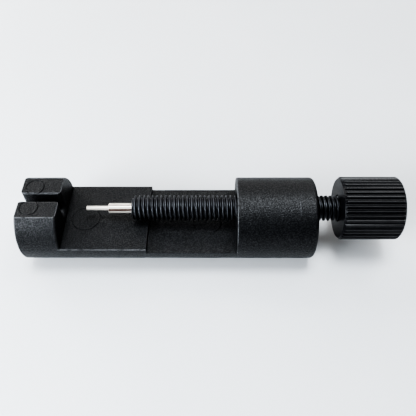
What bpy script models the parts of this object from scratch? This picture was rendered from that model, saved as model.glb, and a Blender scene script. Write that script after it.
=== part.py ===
"""Chain tool: a cast frame with two anvil posts and a collar, a threaded spindle that runs through the
collar, a fluted knob on the spindle's outer end and a stepped pusher pin in its inner end.

X runs along the spindle towards the knob, Y points away from the front and Z is up. The origin is
under the middle of the tool's length, on the surface that the frame rests on. Stations are distances
along X from the posts' free end.
"""

import math

import bmesh
import bpy

MM = 0.001

# The frame, along the tool.
POST_END = 9.15 * MM
FLOOR_STEP = 28.73 * MM
COLLAR_START = 49.23 * MM
FRAME_END = 67.15 * MM
KNOB_START = 72.56 * MM
TOOL_LENGTH = 86.03 * MM

# The frame's section. The spindle lies above the frame's centre, and heights are from the spindle's axis.
FRAME_RADIUS = 9.52 * MM
FRAME_CENTRE_Z = 8.60 * MM
SPINDLE_RISE = 3.64 * MM
SPINDLE_Z = FRAME_CENTRE_Z + SPINDLE_RISE
POST_TOP = 3.95 * MM
NEAR_FLOOR = -3.29 * MM
FAR_FLOOR = -4.58 * MM
SLOT_HALF_WIDTH = 1.05 * MM
SLOT_ROOT = -0.55 * MM
POST_RIM = 0.45 * MM
COLLAR_RIM = 0.80 * MM

# The spindle's thread, M6 with a 1 mm pitch, and its plain ends. The roll sets where the crests come.
PITCH = 1.0 * MM
CREST_RADIUS = 2.93 * MM
ROOT_RADIUS = 2.32 * MM
CREST_FLAT = PITCH / 8
ROOT_FLAT = PITCH / 4
THREAD_ROLL = math.radians(49)
SPINDLE_START = 25.25 * MM
SPINDLE_FACE_RADIUS = 2.30 * MM
THREAD_IN_KNOB = 1.0 * MM
SPIGOT_RADIUS = 2.05 * MM
SPIGOT_LENGTH = 9.0 * MM
COLLAR_BORE_RADIUS = 3.00 * MM
BORE_CHAMFER = 0.45 * MM
BORE_FLARE = 0.60 * MM

# The pusher pin, and the socket in the spindle's end that it turns in.
PIN_TIP = 14.56 * MM
PIN_SHOULDER = 19.75 * MM
PIN_TIP_RADIUS = 0.52 * MM
PIN_SHANK_RADIUS = 1.15 * MM
PIN_CHAMFER = 0.10 * MM
PIN_SEAT_LENGTH = 6.0 * MM
SOCKET_RADIUS = 1.20 * MM
SOCKET_CHAMFER = 0.30 * MM

# The knob.
KNOB_RADIUS = 7.24 * MM
KNOB_CHAMFER = 0.50 * MM
FLUTES = 40
FLUTE_DEPTH = 0.38 * MM
FLUTE_CREST_SHARE = 0.34
FLUTE_BED_SHARE = 0.26
KNOB_MOUTH_RADIUS = 3.10 * MM

# Each material's name, colour, roughness and metallic value.
FRAME_COATING = ("black_powder_coat", (0.020, 0.021, 0.024), 0.52, 0.0)
SPINDLE_STEEL = ("black_oxide_steel", (0.030, 0.030, 0.033), 0.36, 0.85)
PIN_STEEL = ("bright_pin_steel", (0.62, 0.58, 0.54), 0.24, 1.0)
KNOB_METAL = ("black_knob_metal", (0.014, 0.014, 0.016), 0.28, 0.4)

# How finely curves are cut, the gap between hidden faces and how far cutters pass through.
FRAME_STEPS = 64
BORE_STEPS = 48
TURNED_STEPS = 24
THREAD_STEPS = 12
ARC_STEPS = 3
SLOT_ARC_STEPS = 8
CLEARANCE = 0.30 * MM
OVERSHOOT = 3.0 * MM
WELD = 0.001 * MM
SHARP_ANGLE = math.radians(32)

# Local Z lies along world X on the axes, and outlines are drawn in the XZ or YZ plane.
ALONG_X = (0.0, math.radians(90), 0.0)
OUTLINE_IN_XZ = (math.radians(90), 0.0, 0.0)
OUTLINE_IN_YZ = (math.radians(90), 0.0, math.radians(90))


def station(distance):
    """The world x of a distance from the posts' free end."""
    return distance - TOOL_LENGTH / 2


def clear_scene():
    for obj in list(bpy.data.objects):
        bpy.data.objects.remove(obj, do_unlink=True)


def new_collection(name):
    collection = bpy.data.collections.new(name)
    bpy.context.scene.collection.children.link(collection)
    return collection


def new_object(name, data, collection):
    obj = bpy.data.objects.new(name, data)
    collection.objects.link(obj)
    return obj


def new_axis(name, z, collection):
    """An empty on a long axis of the tool, with its local Z along world X."""
    axis = new_object(name, None, collection)
    axis.empty_display_size = FRAME_RADIUS
    axis.location = (0.0, 0.0, z)
    axis.rotation_euler = ALONG_X
    return axis


def new_material(name, colour, roughness, metallic):
    material = bpy.data.materials.new(name)
    material.use_nodes = True
    shader = material.node_tree.nodes["Principled BSDF"]
    shader.inputs["Base Color"].default_value = (*colour, 1.0)
    shader.inputs["Roughness"].default_value = roughness
    shader.inputs["Metallic"].default_value = metallic
    return material


def turned(name, profile, steps, axis, collection):
    """A solid turned about an axis empty, from (radius, x) points that run from high x to low."""
    mesh = bpy.data.meshes.new(name)
    points = [(radius, 0.0, x) for radius, x in profile]
    edges = [(i, i + 1) for i in range(len(points) - 1)]
    mesh.from_pydata(points, edges, [])
    obj = new_object(name, mesh, collection)
    obj.parent = axis
    screw = obj.modifiers.new("turn", "SCREW")
    screw.steps = steps
    screw.render_steps = steps
    screw.use_merge_vertices = True
    screw.merge_threshold = WELD
    return obj


def evaluated_mesh(obj):
    bpy.context.view_layer.update()
    graph = bpy.context.evaluated_depsgraph_get()
    return bpy.data.meshes.new_from_object(obj.evaluated_get(graph))


def weld(mesh, cap_ends=False):
    """Joins points that meet, closes open ends if asked, and turns all faces outwards."""
    edit = bmesh.new()
    edit.from_mesh(mesh)
    bmesh.ops.remove_doubles(edit, verts=edit.verts, dist=WELD)
    if cap_ends:
        open_edges = [edge for edge in edit.edges if edge.is_boundary]
        bmesh.ops.holes_fill(edit, edges=open_edges, sides=0)
    bmesh.ops.recalc_face_normals(edit, faces=edit.faces)
    edit.to_mesh(mesh)
    edit.free()


def extruded(name, outline, rotation, middle, half_length, collection):
    """A closed flat outline given length along the third direction, as a mesh."""
    curve = bpy.data.curves.new(name, "CURVE")
    curve.dimensions = "2D"
    curve.fill_mode = "BOTH"
    curve.extrude = half_length
    spline = curve.splines.new("POLY")
    spline.points.add(len(outline) - 1)
    for point, (across, up) in zip(spline.points, outline):
        point.co = (across, up, 0.0, 1.0)
    spline.use_cyclic_u = True
    drawn = new_object(name + "_outline", curve, collection)
    mesh = evaluated_mesh(drawn)
    weld(mesh)
    obj = new_object(name, mesh, collection)
    obj.location = middle
    obj.rotation_euler = rotation
    bpy.data.objects.remove(drawn)
    return obj


def combine(obj, other, operation):
    """Adds an exact Boolean of obj with a helper, and hides the helper."""
    other.hide_render = True
    other.display_type = "WIRE"
    modifier = obj.modifiers.new(other.name, "BOOLEAN")
    modifier.operation = operation
    modifier.solver = "EXACT"
    modifier.object = other


def settle(obj, material):
    """Keeps the shape that the modifiers make, shades it smooth up to its edges and colours it."""
    mesh = evaluated_mesh(obj)
    obj.modifiers.clear()
    obj.data = mesh
    mesh.name = obj.name
    mesh.shade_smooth()
    mesh.set_sharp_from_angle(angle=SHARP_ANGLE)
    mesh.materials.clear()
    mesh.materials.append(material)


def arc(centre_radius, centre_x, radius, start, end, steps):
    """Points of (radius, x) on a rim's quarter round. An angle of 0 faces outwards and 90 faces high x."""
    angles = [math.radians(start + (end - start) * i / steps) for i in range(steps + 1)]
    return [(centre_radius + radius * math.cos(a), centre_x + radius * math.sin(a)) for a in angles]


def trough_cutter(cutters):
    """Everything above the posts' tops and above the two floors, as one stepped outline."""
    above = 2 * FRAME_RADIUS
    outline = [
        (station(-OVERSHOOT), POST_TOP),
        (station(POST_END), POST_TOP),
        (station(POST_END), NEAR_FLOOR),
        (station(FLOOR_STEP), NEAR_FLOOR),
        (station(FLOOR_STEP), FAR_FLOOR),
        (station(COLLAR_START), FAR_FLOOR),
        (station(COLLAR_START), above),
        (station(-OVERSHOOT), above),
    ]
    reach = FRAME_RADIUS + OVERSHOOT
    return extruded("trough_cutter", outline, OUTLINE_IN_XZ, (0.0, 0.0, SPINDLE_Z), reach, cutters)


def slot_cutter(cutters):
    """The U-shaped slot between the posts, in line with the pin."""
    top = POST_TOP + OVERSHOOT
    outline = [(-SLOT_HALF_WIDTH, top)]
    for i in range(SLOT_ARC_STEPS + 1):
        angle = math.pi + math.pi * i / SLOT_ARC_STEPS
        across = SLOT_HALF_WIDTH * math.cos(angle)
        up = SLOT_ROOT + SLOT_HALF_WIDTH * math.sin(angle)
        outline.append((across, up))
    outline.append((SLOT_HALF_WIDTH, top))
    middle = (station(POST_END / 2), 0.0, SPINDLE_Z)
    half_length = POST_END / 2 + OVERSHOOT
    return extruded("slot_cutter", outline, OUTLINE_IN_YZ, middle, half_length, cutters)


def rest_cutter(cutters):
    """The ground below the frame, which leaves the narrow flat that it rests on."""
    outline = [
        (-FRAME_RADIUS, 0.0),
        (FRAME_RADIUS, 0.0),
        (FRAME_RADIUS, -OVERSHOOT),
        (-FRAME_RADIUS, -OVERSHOOT),
    ]
    middle = (station(FRAME_END / 2), 0.0, 0.0)
    half_length = FRAME_END / 2 + OVERSHOOT
    return extruded("rest_cutter", outline, OUTLINE_IN_YZ, middle, half_length, cutters)


def bore_cutter(axis, cutters):
    """The hole through the collar, opened out at both mouths."""
    wide = COLLAR_BORE_RADIUS + BORE_CHAMFER
    flare = wide + BORE_FLARE
    start = station(COLLAR_START)
    end = station(FRAME_END)
    profile = [
        (0.0, end + BORE_FLARE),
        (flare, end + BORE_FLARE),
        (wide, end),
        (COLLAR_BORE_RADIUS, end - BORE_CHAMFER),
        (COLLAR_BORE_RADIUS, start + BORE_CHAMFER),
        (wide, start),
        (flare, start - BORE_FLARE),
        (0.0, start - BORE_FLARE),
    ]
    return turned("bore_cutter", profile, BORE_STEPS, axis, cutters)


def make_frame(frame_axis, spindle_axis, parts, cutters):
    """The one-piece casting: a round bar cut down to two posts, two floors and a collar."""
    start = station(0.0)
    end = station(FRAME_END)
    profile = [(0.0, end)]
    profile += arc(FRAME_RADIUS - COLLAR_RIM, end - COLLAR_RIM, COLLAR_RIM, 90, 0, ARC_STEPS)
    profile += arc(FRAME_RADIUS - POST_RIM, start + POST_RIM, POST_RIM, 0, -90, ARC_STEPS)
    profile += [(0.0, start)]
    frame = turned("frame", profile, FRAME_STEPS, frame_axis, parts)
    combine(frame, trough_cutter(cutters), "DIFFERENCE")
    combine(frame, slot_cutter(cutters), "DIFFERENCE")
    combine(frame, rest_cutter(cutters), "DIFFERENCE")
    combine(frame, bore_cutter(spindle_axis, cutters), "DIFFERENCE")
    settle(frame, new_material(*FRAME_COATING))


def thread_sweep(axis, cutters):
    """A right-hand thread swept along its helix, two turns longer than the spindle at each end."""
    spare = 2 * PITCH
    flank = (PITCH - CREST_FLAT - ROOT_FLAT) / 2
    start = station(SPINDLE_START) - spare
    turns = math.ceil((KNOB_START + THREAD_IN_KNOB - SPINDLE_START + 2 * spare) / PITCH)
    profile = [
        (ROOT_RADIUS, start + PITCH),
        (ROOT_RADIUS, start + PITCH - ROOT_FLAT),
        (CREST_RADIUS, start + CREST_FLAT + flank),
        (CREST_RADIUS, start + flank),
        (ROOT_RADIUS, start),
    ]
    thread = turned("thread_sweep", profile, THREAD_STEPS, axis, cutters)
    screw = thread.modifiers["turn"]
    screw.use_merge_vertices = False
    screw.screw_offset = PITCH
    screw.iterations = turns
    thread.rotation_euler = (0.0, 0.0, THREAD_ROLL)
    mesh = evaluated_mesh(thread)
    weld(mesh, cap_ends=True)
    thread.modifiers.clear()
    thread.data = mesh
    return thread


def spindle_envelope(axis, parts):
    """The spindle's ends: the chamfered face with its socket, and the spigot that the knob sits on."""
    face = station(SPINDLE_START)
    thread_end = station(KNOB_START) + THREAD_IN_KNOB
    spigot_end = thread_end + SPIGOT_LENGTH
    socket_end = face + PIN_SEAT_LENGTH + CLEARANCE
    outside = CREST_RADIUS + CLEARANCE
    profile = [
        (0.0, spigot_end),
        (SPIGOT_RADIUS, spigot_end),
        (SPIGOT_RADIUS, thread_end),
        (outside, thread_end),
        (outside, face + outside - SPINDLE_FACE_RADIUS),
        (SPINDLE_FACE_RADIUS, face),
        (SOCKET_RADIUS + SOCKET_CHAMFER, face),
        (SOCKET_RADIUS, face + SOCKET_CHAMFER),
        (SOCKET_RADIUS, socket_end),
        (0.0, socket_end),
    ]
    return turned("spindle", profile, TURNED_STEPS, axis, parts)


def make_spindle(axis, parts, cutters):
    """The threaded rod, with a socket for the pin in one end and a spigot for the knob on the other."""
    spindle = spindle_envelope(axis, parts)
    combine(spindle, thread_sweep(axis, cutters), "INTERSECT")
    settle(spindle, new_material(*SPINDLE_STEEL))


def make_pusher_pin(axis, parts):
    """The stepped pin: a thin tip, and a shank that seats in the spindle's socket."""
    tip = station(PIN_TIP)
    shoulder = station(PIN_SHOULDER)
    tail = station(SPINDLE_START) + PIN_SEAT_LENGTH
    profile = [
        (0.0, tail),
        (PIN_SHANK_RADIUS - PIN_CHAMFER, tail),
        (PIN_SHANK_RADIUS, tail - PIN_CHAMFER),
        (PIN_SHANK_RADIUS, shoulder + PIN_CHAMFER),
        (PIN_SHANK_RADIUS - PIN_CHAMFER, shoulder),
        (PIN_TIP_RADIUS, shoulder),
        (PIN_TIP_RADIUS, tip + PIN_CHAMFER),
        (PIN_TIP_RADIUS - PIN_CHAMFER, tip),
        (0.0, tip),
    ]
    pin = turned("pusher_pin", profile, TURNED_STEPS, axis, parts)
    settle(pin, new_material(*PIN_STEEL))


def flute_outline():
    """The knob's section: narrow flat crests with wider beds between them."""
    outline = []
    turn = math.tau / FLUTES
    bed_radius = KNOB_RADIUS - FLUTE_DEPTH
    flute = (
        (KNOB_RADIUS, -FLUTE_CREST_SHARE / 2),
        (KNOB_RADIUS, FLUTE_CREST_SHARE / 2),
        (bed_radius, 0.5 - FLUTE_BED_SHARE / 2),
        (bed_radius, 0.5 + FLUTE_BED_SHARE / 2),
    )
    for i in range(FLUTES):
        for radius, share in flute:
            angle = (i + share) * turn
            outline.append((radius * math.cos(angle), radius * math.sin(angle)))
    return outline


def knob_envelope(axis, parts):
    """The knob's chamfered ends, and the blind hole that takes the spindle's end."""
    face = station(KNOB_START)
    end = station(TOOL_LENGTH)
    outside = KNOB_RADIUS + CLEARANCE
    rim = KNOB_RADIUS - KNOB_CHAMFER
    slope = outside - rim
    mouth_end = face + THREAD_IN_KNOB + CLEARANCE
    hole_end = face + THREAD_IN_KNOB + SPIGOT_LENGTH + CLEARANCE
    profile = [
        (0.0, end),
        (rim, end),
        (outside, end - slope),
        (outside, face + slope),
        (rim, face),
        (KNOB_MOUTH_RADIUS, face),
        (KNOB_MOUTH_RADIUS, mouth_end),
        (SPIGOT_RADIUS + CLEARANCE, mouth_end),
        (SPIGOT_RADIUS + CLEARANCE, hole_end),
        (0.0, hole_end),
    ]
    return turned("knob", profile, BORE_STEPS, axis, parts)


def make_knob(axis, parts, cutters):
    """The fluted knob on the spindle's spigot."""
    knob = knob_envelope(axis, parts)
    middle = (station((KNOB_START + TOOL_LENGTH) / 2), 0.0, SPINDLE_Z)
    half_length = (TOOL_LENGTH - KNOB_START) / 2 + OVERSHOOT
    flutes = extruded("flute_bar", flute_outline(), OUTLINE_IN_YZ, middle, half_length, cutters)
    combine(knob, flutes, "INTERSECT")
    settle(knob, new_material(*KNOB_METAL))


def main():
    clear_scene()
    parts = new_collection("chain_tool")
    cutters = new_collection("cutters")
    frame_axis = new_axis("frame_axis", FRAME_CENTRE_Z, parts)
    spindle_axis = new_axis("spindle_axis", SPINDLE_Z, parts)
    make_frame(frame_axis, spindle_axis, parts, cutters)
    make_spindle(spindle_axis, parts, cutters)
    make_pusher_pin(spindle_axis, parts)
    make_knob(spindle_axis, parts, cutters)


main()
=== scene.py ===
"""The looks of a small screw-driven chain tool: a black coated casting, a black oxide spindle with a
fluted knob, and a bright stepped pin, on a plain pale floor under soft studio light.

Stations are distances along X from the free end of the casting's two posts.
"""

import math

import bmesh
import bpy
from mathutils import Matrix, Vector


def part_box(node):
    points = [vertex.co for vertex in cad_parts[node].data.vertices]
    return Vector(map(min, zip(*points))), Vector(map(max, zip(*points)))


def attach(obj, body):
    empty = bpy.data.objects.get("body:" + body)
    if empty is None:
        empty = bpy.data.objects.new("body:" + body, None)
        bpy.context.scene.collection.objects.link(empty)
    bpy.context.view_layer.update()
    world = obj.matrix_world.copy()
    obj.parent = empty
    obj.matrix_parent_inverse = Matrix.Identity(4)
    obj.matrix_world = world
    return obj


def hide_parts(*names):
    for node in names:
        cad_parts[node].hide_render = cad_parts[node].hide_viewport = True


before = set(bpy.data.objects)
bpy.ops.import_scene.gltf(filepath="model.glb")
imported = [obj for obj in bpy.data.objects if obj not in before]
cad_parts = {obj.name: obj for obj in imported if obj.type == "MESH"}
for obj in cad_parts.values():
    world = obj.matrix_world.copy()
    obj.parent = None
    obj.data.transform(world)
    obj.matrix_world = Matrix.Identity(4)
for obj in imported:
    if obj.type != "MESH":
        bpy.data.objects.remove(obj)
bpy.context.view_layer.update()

MM = 0.001

# ---------------------------------------------------------------- sizes from the CAD frame

casting_low, casting_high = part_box("frame")
spindle_low, spindle_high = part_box("spindle")
pin_low, pin_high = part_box("pusher_pin")
knob_low, knob_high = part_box("knob")

CASTING_RADIUS = (casting_high.y - casting_low.y) / 2
CASTING_CENTRE_Z = casting_high.z - CASTING_RADIUS
SPINDLE_Z = (knob_low.z + knob_high.z) / 2
KNOB_RADIUS = (knob_high.z - knob_low.z) / 2
PIN_SHANK_RADIUS = (pin_high.z - pin_low.z) / 2
START_X = casting_low.x

# ---------------------------------------------------------------- the casting

POST_END = 9.15 * MM
FLOOR_STEP = 28.73 * MM
COLLAR_START = 49.23 * MM
CASTING_LENGTH = casting_high.x - casting_low.x
POST_TOP = 3.95 * MM
NEAR_FLOOR = -3.29 * MM
FAR_FLOOR = -4.58 * MM
SLOT_HALF_WIDTH = 1.05 * MM
SLOT_ROOT = -0.55 * MM
COLLAR_RIM = 0.80 * MM
COLLAR_BORE_RADIUS = 3.00 * MM
BORE_CHAMFER = 0.45 * MM
BORE_FLARE = 0.60 * MM

# Edge rounding, by place.
MOUTH_ROUND = 0.95 * MM
END_ROUND = 0.36 * MM
SLOT_ROUND = 0.45 * MM
TOP_ROUND = 0.15 * MM
WALL_ROUND = 0.55 * MM
FLOOR_ROUND = 0.10 * MM
COLLAR_ROUND = 0.28 * MM
ROUND_SEGMENTS = 4
ROUNDED_SLOT = 1
MOST_WORN_WIDTH = 0.06 * MM
EDGE_ANGLE = math.radians(20)

# Ejector marks: thin round grooves left by the pins that push a casting out of its die.
POST_MARK = 2.05 * MM
POST_MARK_WIDTH = 0.17 * MM
FLOOR_MARK = 3.30 * MM
FLOOR_MARK_WIDTH = 0.12 * MM
MARK_RING_STEPS = 10
POST_MARKS = ((3.0 * MM, 2.95 * MM), (2.85 * MM, -2.95 * MM))
FLOOR_MARKS = ((13.85 * MM, -0.60 * MM, NEAR_FLOOR), (42.6 * MM, -0.60 * MM, FAR_FLOOR))

# A faint scratch round the upper front of the collar. At each end it starts at the first y and is full at
# the second.
SCRATCH = 63.05 * MM
SCRATCH_HALF_WIDTH = 0.22 * MM
SCRATCH_ENDS = ((-5.7 * MM, -5.0 * MM), (-2.1 * MM, -2.8 * MM))

# ---------------------------------------------------------------- spindle, pin and knob

PITCH = 1.0 * MM
CREST_RADIUS = 2.93 * MM
ROOT_RADIUS = 2.32 * MM
THREAD_ROLL = math.radians(49)
FACE_RADIUS = 2.30 * MM
THREAD_IN_KNOB = 1.0 * MM
SPIGOT_RADIUS = 2.05 * MM
SOCKET_RADIUS = 1.20 * MM
SOCKET_CHAMFER = 0.30 * MM
SEAT_GAP = 0.30 * MM

PIN_SHOULDER = 19.75 * MM
PIN_TIP_RADIUS = 0.52 * MM
PIN_ROUND = 0.10 * MM

KNOB_CHAMFER = 0.50 * MM
KNOB_MOUTH_RADIUS = 3.10 * MM
FLUTES = 40
END_FACE_NORMAL = 0.60
# Half a flute, from a crest's middle to the bed's middle: share of the way, and depth in mm.
FLUTE_PROFILE = (
    (0.00, 0.000), (0.14, 0.004), (0.27, 0.020), (0.37, 0.055), (0.45, 0.120),
    (0.78, 0.350), (0.89, 0.390), (1.00, 0.400),
)

# ---------------------------------------------------------------- fineness

CASTING_STEPS = 80
TURNED_STEPS = 96
THREAD_STEPS = 48
ARC_STEPS = 8
# How far cutters reach past what they cut, and how far a blank stands out of what is cut from it.
OVERSHOOT = 3.0 * MM
STOCK = 0.1 * MM
WELD = 0.0005 * MM
NEAR = 0.01 * MM
FLAT_ANGLE = math.radians(0.5)
SHARP_ANGLE = math.radians(35)
ALONG_X = (0.0, math.radians(90), 0.0)
OUTLINE_IN_XZ = (math.radians(90), 0.0, 0.0)
OUTLINE_IN_YZ = (math.radians(90), 0.0, math.radians(90))


def station(distance):
    """The world x of a distance from the posts' free end."""
    return START_X + distance


# ---------------------------------------------------------------- mesh tools


def new_object(name, data):
    obj = bpy.data.objects.new(name, data)
    bpy.context.scene.collection.objects.link(obj)
    return obj


def evaluated_mesh(obj):
    bpy.context.view_layer.update()
    graph = bpy.context.evaluated_depsgraph_get()
    return bpy.data.meshes.new_from_object(obj.evaluated_get(graph))


def settled(obj):
    """The object's final mesh in world space, under the same name, with its modifiers used up."""
    mesh = evaluated_mesh(obj)
    mesh.transform(obj.matrix_world)
    name = obj.name
    bpy.data.objects.remove(obj)
    mesh.name = name
    return new_object(name, mesh)


def turned(name, profile, steps, z):
    """A solid turned about a line along X at height z, from (radius, x) points from high x to low."""
    mesh = bpy.data.meshes.new(name)
    points = [(radius, 0.0, x) for radius, x in profile]
    edges = [(i, i + 1) for i in range(len(points) - 1)]
    mesh.from_pydata(points, edges, [])
    obj = new_object(name, mesh)
    obj.location = (0.0, 0.0, z)
    obj.rotation_euler = ALONG_X
    screw = obj.modifiers.new("turn", "SCREW")
    screw.steps = steps
    screw.render_steps = steps
    screw.use_merge_vertices = True
    screw.merge_threshold = WELD
    return obj


def weld(mesh, cap_ends=False):
    """Joins points that meet, closes open ends if asked, and turns all faces outwards."""
    edit = bmesh.new()
    edit.from_mesh(mesh)
    bmesh.ops.remove_doubles(edit, verts=edit.verts, dist=WELD)
    if cap_ends:
        open_edges = [edge for edge in edit.edges if edge.is_boundary]
        bmesh.ops.holes_fill(edit, edges=open_edges, sides=0)
    bmesh.ops.recalc_face_normals(edit, faces=edit.faces)
    edit.to_mesh(mesh)
    edit.free()


def extruded(name, outline, rotation, middle, half_length):
    """A closed flat outline given length along the third direction, as a mesh."""
    curve = bpy.data.curves.new(name, "CURVE")
    curve.dimensions = "2D"
    curve.fill_mode = "BOTH"
    curve.extrude = half_length
    spline = curve.splines.new("POLY")
    spline.points.add(len(outline) - 1)
    for point, (across, up) in zip(spline.points, outline):
        point.co = (across, up, 0.0, 1.0)
    spline.use_cyclic_u = True
    drawn = new_object(name + "_outline", curve)
    mesh = evaluated_mesh(drawn)
    weld(mesh)
    bpy.data.objects.remove(drawn)
    obj = new_object(name, mesh)
    obj.location = middle
    obj.rotation_euler = rotation
    return obj


def combine(obj, others, operation):
    """The object after an exact Boolean with each of the others, which are then removed."""
    for other in others:
        modifier = obj.modifiers.new(other.name, "BOOLEAN")
        modifier.operation = operation
        modifier.solver = "EXACT"
        modifier.object = other
    result = settled(obj)
    for other in others:
        bpy.data.objects.remove(other)
    return result


def smooth(obj):
    """Smooth shading up to the sharp edges, with large faces kept flat."""
    obj.data.shade_smooth()
    obj.data.set_sharp_from_angle(angle=SHARP_ANGLE)
    flatten = obj.modifiers.new("flat_faces", "WEIGHTED_NORMAL")
    flatten.keep_sharp = True


def arc(centre_radius, centre_x, radius, start, end, steps=ARC_STEPS):
    """Points of (radius, x) on a quarter round. An angle of 0 faces outwards and 90 faces high x."""
    angles = [math.radians(start + (end - start) * i / steps) for i in range(steps + 1)]
    return [(centre_radius + radius * math.cos(a), centre_x + radius * math.sin(a)) for a in angles]


# ---------------------------------------------------------------- the casting's shape


def bar():
    """The round bar that the casting starts from, with its collar end rounded."""
    end = station(CASTING_LENGTH)
    profile = [(0.0, end)]
    profile += arc(CASTING_RADIUS - COLLAR_RIM, end - COLLAR_RIM, COLLAR_RIM, 90, 0)
    profile += [(CASTING_RADIUS, START_X), (0.0, START_X)]
    return turned("frame_casting", profile, CASTING_STEPS, CASTING_CENTRE_Z)


def trough_cutter():
    """Everything above the posts' tops and above the two floors, as one stepped outline."""
    above = 2 * CASTING_RADIUS
    outline = [
        (station(-OVERSHOOT), POST_TOP),
        (station(POST_END), POST_TOP),
        (station(POST_END), NEAR_FLOOR),
        (station(FLOOR_STEP), NEAR_FLOOR),
        (station(FLOOR_STEP), FAR_FLOOR),
        (station(COLLAR_START), FAR_FLOOR),
        (station(COLLAR_START), above),
        (station(-OVERSHOOT), above),
    ]
    reach = CASTING_RADIUS + OVERSHOOT
    return extruded("trough_cutter", outline, OUTLINE_IN_XZ, (0.0, 0.0, SPINDLE_Z), reach)


def slot_cutter():
    """The U-shaped slot between the posts, in line with the pin."""
    top = POST_TOP + OVERSHOOT
    outline = [(-SLOT_HALF_WIDTH, top)]
    for i in range(ARC_STEPS + 1):
        angle = math.pi + math.pi * i / ARC_STEPS
        across = SLOT_HALF_WIDTH * math.cos(angle)
        up = SLOT_ROOT + SLOT_HALF_WIDTH * math.sin(angle)
        outline.append((across, up))
    outline.append((SLOT_HALF_WIDTH, top))
    middle = (station(POST_END / 2), 0.0, SPINDLE_Z)
    return extruded("slot_cutter", outline, OUTLINE_IN_YZ, middle, POST_END / 2 + OVERSHOOT)


def rest_cutter():
    """The ground below the casting, which leaves the narrow flat that it rests on."""
    outline = [
        (-CASTING_RADIUS, 0.0),
        (CASTING_RADIUS, 0.0),
        (CASTING_RADIUS, -OVERSHOOT),
        (-CASTING_RADIUS, -OVERSHOOT),
    ]
    middle = (station(CASTING_LENGTH / 2), 0.0, 0.0)
    return extruded("rest_cutter", outline, OUTLINE_IN_YZ, middle, CASTING_LENGTH / 2 + OVERSHOOT)


def bore_cutter():
    """The hole through the collar, opened out at both mouths."""
    wide = COLLAR_BORE_RADIUS + BORE_CHAMFER
    flare = wide + BORE_FLARE
    start = station(COLLAR_START)
    end = station(CASTING_LENGTH)
    profile = [
        (0.0, end + BORE_FLARE),
        (flare, end + BORE_FLARE),
        (wide, end),
        (COLLAR_BORE_RADIUS, end - BORE_CHAMFER),
        (COLLAR_BORE_RADIUS, start + BORE_CHAMFER),
        (wide, start),
        (flare, start - BORE_FLARE),
        (0.0, start - BORE_FLARE),
    ]
    return turned("bore_cutter", profile, TURNED_STEPS, SPINDLE_Z)


def mark_cutter(name, x, y, z, radius, half_width):
    """A thin round groove in a flat that faces up."""
    bpy.ops.mesh.primitive_torus_add(
        major_radius=radius,
        minor_radius=half_width,
        major_segments=TURNED_STEPS,
        minor_segments=MARK_RING_STEPS,
        location=(x, y, z),
    )
    obj = bpy.context.active_object
    obj.name = name
    return obj


def mark_cutters():
    """The ejector marks of the posts' tops and the two floors."""
    marks = []
    top = SPINDLE_Z + POST_TOP
    for i, (x, y) in enumerate(POST_MARKS):
        marks.append(mark_cutter(f"post_mark_{i}", station(x), y, top, POST_MARK, POST_MARK_WIDTH))
    for i, (x, y, height) in enumerate(FLOOR_MARKS):
        z = SPINDLE_Z + height
        marks.append(mark_cutter(f"floor_mark_{i}", station(x), y, z, FLOOR_MARK, FLOOR_MARK_WIDTH))
    return marks


def round_width(edge):
    """How far a sharp outer edge of the casting is rounded off, from where it lies."""
    a, b = (vert.co for vert in edge.verts)

    def both(axis, value):
        return all(abs(getattr(end, axis) - value) < NEAR for end in (a, b))

    beside_slot = max(abs(a.y), abs(b.y)) < SLOT_HALF_WIDTH + NEAR
    if both("z", SPINDLE_Z + POST_TOP):
        return SLOT_ROUND if beside_slot else TOP_ROUND
    if both("x", START_X):
        return MOUTH_ROUND if beside_slot else END_ROUND
    if both("x", station(POST_END)):
        return MOUTH_ROUND if beside_slot else WALL_ROUND
    if both("z", 0.0):
        return 0.0
    if both("x", station(COLLAR_START)):
        return COLLAR_ROUND
    return FLOOR_ROUND


def round_edges(obj):
    """Rounds the outer edges, each by its own width, and gives the rounded strips a second material slot."""
    edit = bmesh.new()
    edit.from_mesh(obj.data)
    bmesh.ops.remove_doubles(edit, verts=edit.verts, dist=WELD)
    bmesh.ops.dissolve_limit(
        edit, angle_limit=FLAT_ANGLE, verts=edit.verts, edges=edit.edges, delimit=set()
    )
    weights = edit.edges.layers.float.new("bevel_weight_edge")
    widest = MOUTH_ROUND
    for edge in edit.edges:
        if edge.is_manifold and edge.calc_face_angle_signed() > EDGE_ANGLE:
            edge[weights] = round_width(edge) / widest
    edit.to_mesh(obj.data)
    edit.free()
    rounding = obj.modifiers.new("rounding", "BEVEL")
    rounding.limit_method = "WEIGHT"
    rounding.width = widest
    rounding.segments = ROUND_SEGMENTS
    rounding.use_clamp_overlap = True
    rounding.material = ROUNDED_SLOT
    for _ in range(ROUNDED_SLOT + 1):
        obj.data.materials.append(None)
    rounded = settled(obj)
    # The rounding lifts a few corners just off the bar's surface.
    for vert in rounded.data.vertices:
        vert.co.y = min(max(vert.co.y, -CASTING_RADIUS), CASTING_RADIUS)
    return rounded


def mark_wear(obj):
    """Marks the rounded strips, the second material slot, for the coating. The narrowest wear the most.

    The edges of the far floor, under the spindle, are not worn.
    """
    mesh = obj.data
    far_floor_start = station(FLOOR_STEP) - FLOOR_ROUND
    far_floor_end = station(COLLAR_START) - FLOOR_ROUND
    worn = []
    for face in mesh.polygons:
        on_far_floor = far_floor_start < face.center.x < far_floor_end
        wears = face.material_index == ROUNDED_SLOT and not on_far_floor
        corners = [mesh.vertices[i].co for i in face.vertices]
        longest = max((a - b).length for a, b in zip(corners, corners[1:] + corners[:1]))
        width = max(face.area / longest, MOST_WORN_WIDTH)
        worn.append(MOST_WORN_WIDTH / width if wears else 0.0)
    mesh.materials.clear()
    attribute = mesh.attributes.new("edge_wear", "FLOAT", "FACE")
    attribute.data.foreach_set("value", worn)
    mesh.polygons.foreach_set("material_index", [0] * len(worn))


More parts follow.
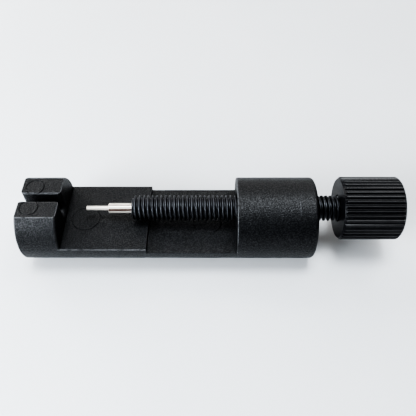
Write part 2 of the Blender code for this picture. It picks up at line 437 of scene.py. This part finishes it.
def make_casting():
    casting = combine(bar(), [trough_cutter(), slot_cutter(), rest_cutter()], "DIFFERENCE")
    casting = round_edges(casting)
    casting = combine(casting, [bore_cutter()] + mark_cutters(), "DIFFERENCE")
    mark_wear(casting)
    smooth(casting)
    casting.data.materials.append(coating_material())
    return casting


# ---------------------------------------------------------------- the spindle's shape


def thread_profile(start):
    """One pitch of a rolled thread from high x to low: rounded root, flank, rounded crest, flank, root."""
    shares = (
        (1.00, 0.00), (0.91, 0.02), (0.86, 0.12), (0.71, 0.80), (0.67, 0.93), (0.61, 0.99), (0.50, 1.00),
        (0.39, 0.99), (0.33, 0.93), (0.29, 0.80), (0.14, 0.12), (0.09, 0.02), (0.00, 0.00),
    )
    # The crest above is half a pitch along. In the CAD thread it comes at this share of the pitch.
    crest_middle = 0.375
    shift = (crest_middle - 0.5) * PITCH
    depth = CREST_RADIUS - ROOT_RADIUS
    return [(ROOT_RADIUS + depth * rise, start + shift + along * PITCH) for along, rise in shares]


def thread_sweep():
    """A right-hand thread swept along its helix, two turns longer than the spindle's at each end."""
    start = spindle_low.x - 2 * PITCH
    end = knob_low.x + THREAD_IN_KNOB + 2 * PITCH
    thread = turned("thread_sweep", thread_profile(start), THREAD_STEPS, SPINDLE_Z)
    screw = thread.modifiers["turn"]
    screw.use_merge_vertices = False
    screw.screw_offset = PITCH
    screw.iterations = math.ceil((end - start) / PITCH)
    mesh = evaluated_mesh(thread)
    weld(mesh, cap_ends=True)
    bpy.data.objects.remove(thread)
    swept = new_object("thread_sweep", mesh)
    swept.location = (0.0, 0.0, SPINDLE_Z)
    swept.rotation_euler = ALONG_X
    # The roll about X sets where the crests come on the seen side.
    swept.delta_rotation_euler = (THREAD_ROLL, 0.0, 0.0)
    return swept


def make_spindle():
    face = spindle_low.x
    thread_end = knob_low.x + THREAD_IN_KNOB
    socket_end = pin_high.x + SEAT_GAP
    outside = CREST_RADIUS + STOCK
    profile = [
        (0.0, spindle_high.x),
        (SPIGOT_RADIUS, spindle_high.x),
        (SPIGOT_RADIUS, thread_end),
        (outside, thread_end),
        (outside, face + outside - FACE_RADIUS),
        (FACE_RADIUS, face),
        (SOCKET_RADIUS + SOCKET_CHAMFER, face),
        (SOCKET_RADIUS, face + SOCKET_CHAMFER),
        (SOCKET_RADIUS, socket_end),
        (0.0, socket_end),
    ]
    spindle = turned("threaded_spindle", profile, TURNED_STEPS, SPINDLE_Z)
    spindle = combine(spindle, [thread_sweep()], "INTERSECT")
    smooth(spindle)
    spindle.data.materials.append(oxide_material())
    return spindle


# ---------------------------------------------------------------- the pin's shape


def make_pin():
    tip = pin_low.x
    shoulder = station(PIN_SHOULDER)
    shank = PIN_SHANK_RADIUS
    profile = [(0.0, pin_high.x)]
    profile += arc(shank - PIN_ROUND, pin_high.x - PIN_ROUND, PIN_ROUND, 90, 0)
    profile += arc(shank - PIN_ROUND, shoulder + PIN_ROUND, PIN_ROUND, 0, -90)
    profile += [(PIN_TIP_RADIUS + PIN_ROUND, shoulder), (PIN_TIP_RADIUS, shoulder - PIN_ROUND)]
    profile += arc(PIN_TIP_RADIUS - PIN_ROUND, tip + PIN_ROUND, PIN_ROUND, 0, -90)
    profile += [(0.0, tip)]
    pin = settled(turned("stepped_pin", profile, TURNED_STEPS, SPINDLE_Z))
    weld(pin.data)
    smooth(pin)
    pin.data.materials.append(pin_material())
    return pin


# ---------------------------------------------------------------- the knob's shape


def flute_outline():
    """The knob's section: rounded crests with straight-sided flutes between them."""
    fall = [(share / 2, depth) for share, depth in FLUTE_PROFILE]
    rise = [(1 - share / 2, depth) for share, depth in FLUTE_PROFILE[-2:0:-1]]
    outline = []
    for i in range(FLUTES):
        for share, depth in fall + rise:
            angle = math.tau * (i + share) / FLUTES
            radius = KNOB_RADIUS - depth * MM
            outline.append((radius * math.cos(angle), radius * math.sin(angle)))
    return outline


def mark_end_faces(obj):
    """Marks the flat turned faces of the knob's two ends for the material, which makes them duller."""
    mesh = obj.data
    flat = [1.0 if abs(face.normal.x) > END_FACE_NORMAL else 0.0 for face in mesh.polygons]
    attribute = mesh.attributes.new("end_face", "FLOAT", "FACE")
    attribute.data.foreach_set("value", flat)


def make_knob():
    face = knob_low.x
    end = knob_high.x
    outside = KNOB_RADIUS + STOCK
    rim = KNOB_RADIUS - KNOB_CHAMFER
    slope = outside - rim
    mouth_end = face + THREAD_IN_KNOB + SEAT_GAP
    profile = [
        (0.0, end),
        (rim, end),
        (outside, end - slope),
        (outside, face + slope),
        (rim, face),
        (KNOB_MOUTH_RADIUS, face),
        (KNOB_MOUTH_RADIUS, mouth_end),
        (SPIGOT_RADIUS + SEAT_GAP, mouth_end),
        (SPIGOT_RADIUS + SEAT_GAP, spindle_high.x + SEAT_GAP),
        (0.0, spindle_high.x + SEAT_GAP),
    ]
    knob = turned("fluted_knob", profile, TURNED_STEPS, SPINDLE_Z)
    middle = ((face + end) / 2, 0.0, SPINDLE_Z)
    half_length = (end - face) / 2 + OVERSHOOT
    flutes = extruded("flute_bar", flute_outline(), OUTLINE_IN_YZ, middle, half_length)
    knob = combine(knob, [flutes], "INTERSECT")
    mark_end_faces(knob)
    smooth(knob)
    knob.data.materials.append(knob_material())
    return knob


# ---------------------------------------------------------------- materials

# The parts of a noise's range that its changes are spread over. Most of it lies near 0.5.
NOISE_MIDDLE = (0.35, 0.65)
NOISE_MOST = (0.30, 0.70)

# A Mix node's colour sockets share their names with its other sockets, so they go by number.
MIX_COLOURS = (6, 7)
MIX_RESULT = 2


class Surface:
    """A node material under construction, with short ways to add and join its nodes."""

    def __init__(self, name):
        self.material = bpy.data.materials.new(name)
        self.material.use_nodes = True
        self.tree = self.material.node_tree
        self.shader = self.tree.nodes["Principled BSDF"]
        self.place = self.node("ShaderNodeTexCoord").outputs["Object"]

    def node(self, kind, **settings):
        node = self.tree.nodes.new(kind)
        for key, value in settings.items():
            setattr(node, key, value)
        return node

    def join(self, source, target):
        self.tree.links.new(source, target)

    def put(self, socket, value):
        """Sets a socket from another socket or from a constant."""
        if isinstance(value, bpy.types.NodeSocket):
            self.join(value, socket)
        else:
            socket.default_value = value

    def scaled(self, scale):
        """The place on the object in units of 1 / scale along each direction."""
        mapping = self.node("ShaderNodeMapping")
        self.join(self.place, mapping.inputs["Vector"])
        mapping.inputs["Scale"].default_value = scale
        return mapping.outputs["Vector"]

    def coordinates(self):
        """The place's x, y and z, each as a socket."""
        split = self.node("ShaderNodeSeparateXYZ")
        self.join(self.place, split.inputs["Vector"])
        return [split.outputs[axis] for axis in "XYZ"]

    def noise(self, size, detail=2.0, stretch=(1.0, 1.0, 1.0)):
        """Noise with features about size metres across, longer along an axis whose stretch is below 1."""
        node = self.node("ShaderNodeTexNoise")
        scale = tuple(s / size for s in stretch)
        self.join(self.scaled(scale), node.inputs["Vector"])
        node.inputs["Scale"].default_value = 1.0
        node.inputs["Detail"].default_value = detail
        return node.outputs["Fac"]

    def spread(self, value, low, high, to_low=0.0, to_high=1.0):
        """A value's range from low to high, mapped to another range and held there."""
        node = self.node("ShaderNodeMapRange")
        self.put(node.inputs["Value"], value)
        node.inputs["From Min"].default_value = low
        node.inputs["From Max"].default_value = high
        node.inputs["To Min"].default_value = to_low
        node.inputs["To Max"].default_value = to_high
        return node.outputs["Result"]

    def math(self, operation, first, second=0.0):
        node = self.node("ShaderNodeMath", operation=operation)
        self.put(node.inputs[0], first)
        self.put(node.inputs[1], second)
        return node.outputs[0]

    def times(self, first, second):
        return self.math("MULTIPLY", first, second)

    def mix(self, share, first, second):
        """A colour between two colours or sockets."""
        node = self.node("ShaderNodeMix", data_type="RGBA")
        self.put(node.inputs["Factor"], share)
        for socket, value in zip(MIX_COLOURS, (first, second)):
            self.put(node.inputs[socket], (*value, 1.0) if isinstance(value, tuple) else value)
        return node.outputs[MIX_RESULT]

    def attribute(self, name):
        node = self.node("ShaderNodeAttribute", attribute_name=name)
        return node.outputs["Fac"]

    def bump(self, height, depth, below=None):
        """A bump of about depth metres, on top of another bump if there is one."""
        node = self.node("ShaderNodeBump")
        node.inputs["Strength"].default_value = 1.0
        node.inputs["Distance"].default_value = depth
        self.join(height, node.inputs["Height"])
        if below:
            self.join(below, node.inputs["Normal"])
        return node.outputs["Normal"]

    def finish(self, colour, roughness, metallic, normal=None, specular=0.5):
        self.put(self.shader.inputs["Base Color"], colour)
        self.put(self.shader.inputs["Roughness"], roughness)
        self.shader.inputs["Metallic"].default_value = metallic
        self.put(self.shader.inputs["Specular IOR Level"], specular)
        if normal:
            self.join(normal, self.shader.inputs["Normal"])
        return self.material


COATING_GRAIN = 0.24 * MM
COATING_GRAIN_DEPTH = 0.080 * MM
COATING_WAVES = 5.0 * MM
COATING_WAVE_DEPTH = 0.02 * MM
COATING_TONES = ((0.0018, 0.0020, 0.0026), (0.0030, 0.0033, 0.0041))
COATING_ROUGHNESS = (0.48, 0.40)
COATING_SPECULAR = (0.22, 0.39)
# Glint spots: the coating shines more there, and its colour is lighter there as painted glints.
GLINTS = 0.27 * MM
GLINT_RANGE = (0.40, 0.66)
PAINTED_GLINT_SHARE = 0.5
PAINTED_GLINT_COLOUR = (0.008, 0.0084, 0.0098)
WEAR_PATCHES = 1.2 * MM
WEAR_PATCH_RANGE = (0.28, 0.50)
WEAR_SHARE = 0.8
WEAR_COLOUR = (0.085, 0.086, 0.089)
SCRATCH_SHARE = 0.5
SCRATCH_COLOUR = (0.060, 0.061, 0.065)


def scratch_share(surface):
    """How far a place lies in the faint scratch that runs round the upper front of the collar."""
    x, y, z = surface.coordinates()
    offset = surface.math("ABSOLUTE", surface.math("SUBTRACT", x, station(SCRATCH)))
    share = surface.spread(offset, SCRATCH_HALF_WIDTH, 0.0)
    share = surface.times(share, surface.spread(z, CASTING_CENTRE_Z, SPINDLE_Z))
    for clear, full in SCRATCH_ENDS:
        share = surface.times(share, surface.spread(y, clear, full))
    return share


def coating_material():
    """Thin black powder coating on a casting: fine grain that glints, painted glints that lighten its colour
    in spots, and thin light wear on edges.
    """
    surface = Surface("black_powder_coat")
    grain = surface.noise(COATING_GRAIN, detail=0.0)
    glint = surface.spread(surface.noise(GLINTS, detail=0.0), *GLINT_RANGE)
    waves = surface.noise(COATING_WAVES)
    patches = surface.spread(surface.noise(WEAR_PATCHES), *WEAR_PATCH_RANGE)
    worn = surface.times(surface.attribute("edge_wear"), patches)
    scratched = surface.times(scratch_share(surface), patches)
    colour = surface.mix(surface.spread(waves, *NOISE_MIDDLE), *COATING_TONES)
    # Painted glints: the glint spots are made lighter in colour as well as shinier.
    colour = surface.mix(surface.times(glint, PAINTED_GLINT_SHARE), colour, PAINTED_GLINT_COLOUR)
    colour = surface.mix(surface.times(worn, WEAR_SHARE), colour, WEAR_COLOUR)
    colour = surface.mix(surface.times(scratched, SCRATCH_SHARE), colour, SCRATCH_COLOUR)
    roughness = surface.spread(grain, *NOISE_MIDDLE, *COATING_ROUGHNESS)
    specular = surface.spread(glint, 0.0, 1.0, *COATING_SPECULAR)
    normal = surface.bump(grain, COATING_GRAIN_DEPTH)
    normal = surface.bump(waves, COATING_WAVE_DEPTH, below=normal)
    return surface.finish(colour, roughness, 0.0, normal, specular)


OXIDE_PATCHES = 1.6 * MM
OXIDE_MARKS = 0.12 * MM
OXIDE_MARK_STRETCH = (1.0, 0.3, 0.3)
OXIDE_MARK_DEPTH = 0.006 * MM
OXIDE_TONES = ((0.042, 0.043, 0.047), (0.062, 0.064, 0.069))
OXIDE_ROUGHNESS = (0.40, 0.54)


def oxide_material():
    """Black oxide on rolled steel: dark, satin and slightly uneven, with fine marks drawn out round it."""
    surface = Surface("black_oxide_steel")
    patches = surface.noise(OXIDE_PATCHES, detail=3.0)
    marks = surface.noise(OXIDE_MARKS, stretch=OXIDE_MARK_STRETCH)
    colour = surface.mix(surface.spread(patches, *NOISE_MIDDLE), *OXIDE_TONES)
    roughness = surface.spread(marks, *NOISE_MOST, *OXIDE_ROUGHNESS)
    normal = surface.bump(marks, OXIDE_MARK_DEPTH)
    return surface.finish(colour, roughness, 1.0, normal)


PIN_RINGS = 0.10 * MM
PIN_RING_STRETCH = (1.0, 0.05, 0.05)
PIN_RING_DEPTH = 0.002 * MM
PIN_COLOUR = (0.56, 0.52, 0.465)
PIN_ROUGHNESS = (0.28, 0.40)
PIN_METALLIC = 0.55
STAIN_COLOUR = (0.050, 0.022, 0.016)

# The main stain is a streaky band along the upper front. Each pair is where it starts and where it is full:
# y, and heights over the pin's axis.
BAND_FRONT = (-0.20 * MM, -0.45 * MM)
BAND_TOP = (0.82 * MM, 0.70 * MM)
BAND_BOTTOM = (0.20 * MM, 0.38 * MM)
STREAKS = 0.40 * MM
STREAK_STRETCH = (0.10, 1.0, 1.0)
STREAK_RANGE = (0.34, 0.56)

# A lighter band runs along the top. The offsets are distances from its middle.
TOP_BAND_Y = -0.14 * MM
TOP_BAND_OFFSETS = (0.26 * MM, 0.10 * MM)
TOP_BAND_HEIGHTS = (0.6 * MM, 0.9 * MM)
TOP_BAND_STRENGTH = 0.62

# Faint lines run along all sides.
LINES = 0.34 * MM
LINE_STRETCH = (0.05, 1.0, 1.0)
LINE_RANGE = (0.54, 0.66)
LINE_STRENGTH = 0.40


def stain_share(surface):
    """How brown a place on the pin's shank is."""
    x, y, z = surface.coordinates()
    height = surface.math("SUBTRACT", z, SPINDLE_Z)
    streaks = surface.noise(STREAKS, detail=3.0, stretch=STREAK_STRETCH)
    band = surface.times(surface.spread(height, *BAND_TOP), surface.spread(height, *BAND_BOTTOM))
    band = surface.times(surface.spread(y, *BAND_FRONT), band)
    band = surface.times(band, surface.spread(streaks, *STREAK_RANGE))
    offset = surface.math("ABSOLUTE", surface.math("SUBTRACT", y, TOP_BAND_Y))
    top_band = surface.spread(offset, *TOP_BAND_OFFSETS, 0.0, TOP_BAND_STRENGTH)
    top_band = surface.times(top_band, surface.spread(height, *TOP_BAND_HEIGHTS))
    lines = surface.noise(LINES, detail=1.0, stretch=LINE_STRETCH)
    lines = surface.spread(lines, *LINE_RANGE, 0.0, LINE_STRENGTH)
    stain = surface.math("MAXIMUM", surface.math("MAXIMUM", band, lines), top_band)
    shoulder = station(PIN_SHOULDER)
    return surface.times(stain, surface.spread(x, shoulder, shoulder + PIN_ROUND))


def pin_material():
    """Bright ground steel with fine grinding rings, and brown stain drawn out along the shank."""
    surface = Surface("bright_pin_steel")
    rings = surface.noise(PIN_RINGS, stretch=PIN_RING_STRETCH)
    colour = surface.mix(stain_share(surface), PIN_COLOUR, STAIN_COLOUR)
    roughness = surface.spread(rings, *NOISE_MOST, *PIN_ROUGHNESS)
    normal = surface.bump(rings, PIN_RING_DEPTH)
    return surface.finish(colour, roughness, PIN_METALLIC, normal)


KNOB_PATCHES = 2.2 * MM
KNOB_LINES = 0.16 * MM
KNOB_LINE_STRETCH = (0.08, 1.0, 1.0)
KNOB_LINE_DEPTH = 0.003 * MM
KNOB_TONES = ((0.002, 0.002, 0.003), (0.004, 0.004, 0.005))
KNOB_ROUGHNESS = (0.18, 0.28)
KNOB_SPECULAR = 0.40
END_FACE_ADDED_ROUGHNESS = 0.10
END_FACE_SPECULAR = 0.11


def knob_material():
    """Black anodised metal: glossier than the casting along the flutes, dull on the turned end faces."""
    surface = Surface("black_knob_metal")
    patches = surface.noise(KNOB_PATCHES, detail=3.0)
    lines = surface.noise(KNOB_LINES, stretch=KNOB_LINE_STRETCH)
    end_face = surface.attribute("end_face")
    colour = surface.mix(surface.spread(patches, *NOISE_MIDDLE), *KNOB_TONES)
    roughness = surface.spread(lines, *NOISE_MOST, *KNOB_ROUGHNESS)
    roughness = surface.math("ADD", roughness, surface.times(end_face, END_FACE_ADDED_ROUGHNESS))
    specular = surface.spread(end_face, 0.0, 1.0, KNOB_SPECULAR, END_FACE_SPECULAR)
    normal = surface.bump(lines, KNOB_LINE_DEPTH)
    return surface.finish(colour, roughness, 0.0, normal, specular)


TABLE_PATCHES = 60 * MM
TABLE_TONES = ((0.475, 0.48, 0.487), (0.495, 0.50, 0.507))
TABLE_ROUGHNESS = 0.75


def floor_material():
    """A plain pale table top whose tone is very slightly uneven."""
    surface = Surface("pale_floor")
    patches = surface.noise(TABLE_PATCHES)
    colour = surface.mix(surface.spread(patches, *NOISE_MOST), *TABLE_TONES)
    return surface.finish(colour, TABLE_ROUGHNESS, 0.0)


# ---------------------------------------------------------------- floor, light and camera

CAMERA_PLACE = (0.605 * MM, -70.97 * MM, SPINDLE_Z + 90.08 * MM)
CAMERA_TURN = (math.radians(38.245), math.radians(0.371), math.radians(0.298))
CAMERA_LENS = 42.85
CAMERA_SENSOR_WIDTH = 36.0
CAMERA_CLIP_START = 0.005
CAMERA_CLIP_END = 10.0

TABLE_SIZE = 4.0


def add_floor():
    bpy.ops.mesh.primitive_plane_add(size=TABLE_SIZE, location=(0.0, 0.0, 0.0))
    floor = bpy.context.active_object
    floor.name = "floor"
    floor.data.materials.append(floor_material())


# Each light's name, place, width, depth, power and colour. All aim at the tool.
LIGHTS = (
    ("overhead_right", (0.195, 0.112, 0.556), 0.24, 0.24, 0.98, (0.95, 0.98, 1.00)),
    ("window", (-0.24, -0.14, 0.12), 0.16, 0.16, 2.20, (0.88, 0.94, 1.00)),
    ("front_left", (-0.271, -0.387, 0.369), 0.12, 0.12, 0.40, (0.88, 0.94, 1.00)),
    ("front_right", (0.30, -0.30, 0.424), 0.24, 0.24, 0.30, (0.90, 0.95, 1.00)),
    ("back", (0.06, 0.55, 0.25), 0.50, 0.20, 0.96, (1.00, 0.99, 0.97)),
    ("back_right", (0.30, 0.30, 0.424), 0.24, 0.24, 0.56, (1.00, 0.99, 0.97)),
    ("back_left", (-0.22, 0.16, 0.12), 0.14, 0.14, 0.46, (1.00, 0.99, 0.97)),
    ("back_left_high", (-0.114, 0.36, 0.47), 0.10, 0.10, 0.38, (1.00, 0.99, 0.97)),
)

# The light from straight above is even over the whole floor.
OVERHEAD_STRENGTH = 3.06
OVERHEAD_ANGLE = math.radians(22.6)
OVERHEAD_COLOUR = (0.90, 0.95, 1.00)
BACKGROUND_COLOUR = (0.93, 0.97, 1.00, 1.0)
BACKGROUND_STRENGTH = 0.48


def add_lights():
    for name, place, width, depth, power, colour in LIGHTS:
        light = bpy.data.lights.new(name, "AREA")
        light.shape = "RECTANGLE"
        light.size = width
        light.size_y = depth
        light.energy = power
        light.color = colour
        obj = new_object(name, light)
        obj.location = place
        obj.rotation_euler = (-Vector(place)).to_track_quat("-Z", "Y").to_euler()
    overhead = bpy.data.lights.new("overhead", "SUN")
    overhead.energy = OVERHEAD_STRENGTH
    overhead.angle = OVERHEAD_ANGLE
    overhead.color = OVERHEAD_COLOUR
    new_object("overhead", overhead)


def add_background():
    """A pale grey background behind the floor. It is only seen, and lights nothing."""
    world = bpy.data.worlds.new("studio")
    world.use_nodes = True
    background = world.node_tree.nodes["Background"]
    background.inputs["Color"].default_value = BACKGROUND_COLOUR
    background.inputs["Strength"].default_value = BACKGROUND_STRENGTH
    world.cycles_visibility.diffuse = False
    world.cycles_visibility.glossy = False
    bpy.context.scene.world = world


def add_camera():
    camera = bpy.data.cameras.new("camera")
    camera.lens = CAMERA_LENS
    camera.sensor_width = CAMERA_SENSOR_WIDTH
    camera.clip_start = CAMERA_CLIP_START
    camera.clip_end = CAMERA_CLIP_END
    obj = new_object("camera", camera)
    obj.location = CAMERA_PLACE
    obj.rotation_euler = CAMERA_TURN
    bpy.context.scene.camera = obj


# ---------------------------------------------------------------- the scene


def main():
    pieces = (
        (make_casting(), "frame", "frame", "frame_coating"),
        (make_spindle(), "spindle", "spindle", "spindle_steel"),
        (make_pin(), "pusher", "pusher_pin", "pin_steel"),
        (make_knob(), "spindle", "knob", "knob_metal"),
    )
    for piece, body, node, slot in pieces:
        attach(piece, body)
        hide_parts(node)
    add_floor()
    add_lights()
    add_background()
    add_camera()
    bpy.context.scene.view_settings.view_transform = "AgX"
    bpy.context.scene.view_settings.look = "AgX - Very High Contrast"


main()
